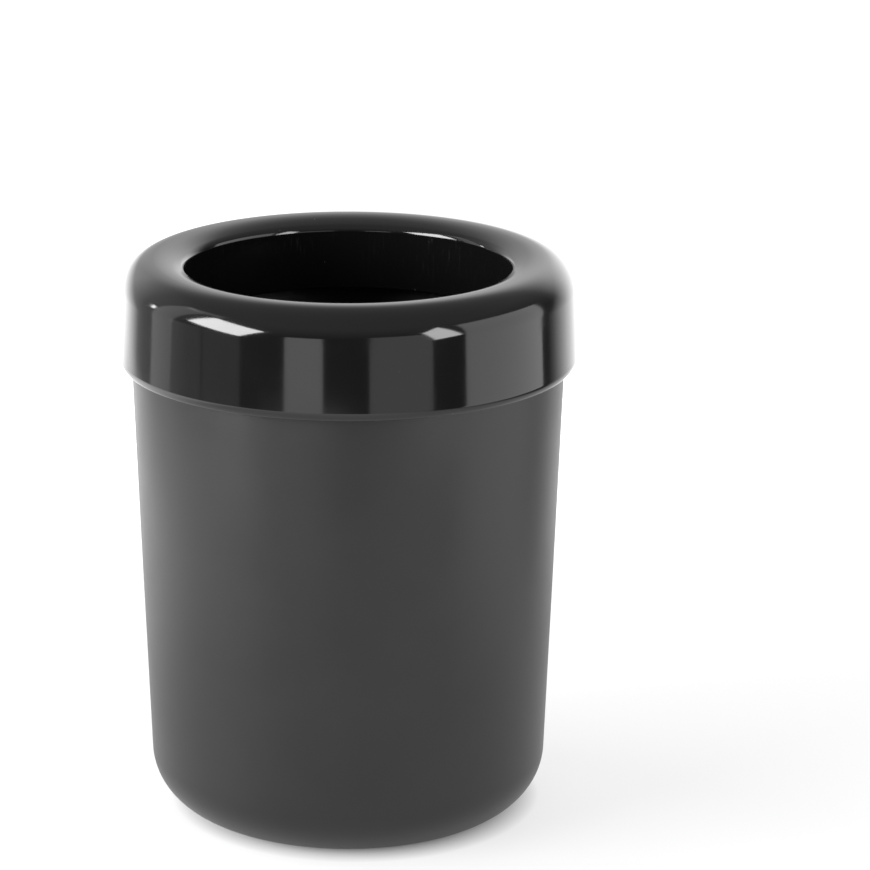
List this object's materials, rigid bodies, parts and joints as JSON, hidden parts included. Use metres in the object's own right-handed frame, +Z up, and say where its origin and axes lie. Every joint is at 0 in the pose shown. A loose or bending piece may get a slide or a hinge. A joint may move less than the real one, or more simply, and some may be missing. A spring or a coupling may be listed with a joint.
{
  "type": "cutlery holder",
  "caption": "Round free-standing table holder: a satin black drafted cup with a rounded base edge, and a gloss black rim ring that lifts off its rim and lines the mouth.",
  "frame": {"origin": "centre of the foot ring, on the surface that the holder stands on", "axes": "+Z up along the cup's axis, -Y towards the viewer in the picture"},
  "size_m": [0.1302, 0.1302, 0.1621],
  "materials": {
    "cup_plastic": "satin black, fine moulded texture",
    "ring_plastic": "high gloss black, polished mould"
  },
  "bodies": {
    "cup": {"body": "cup_plastic"},
    "ring": {"rim_ring": "ring_plastic"}
  },
  "joints": [
    {"name": "ring_lift", "type": "slide", "parent": "cup", "child": "ring", "axis": [0, 0, 1], "range_m": [0, 0.04]}
  ]
}
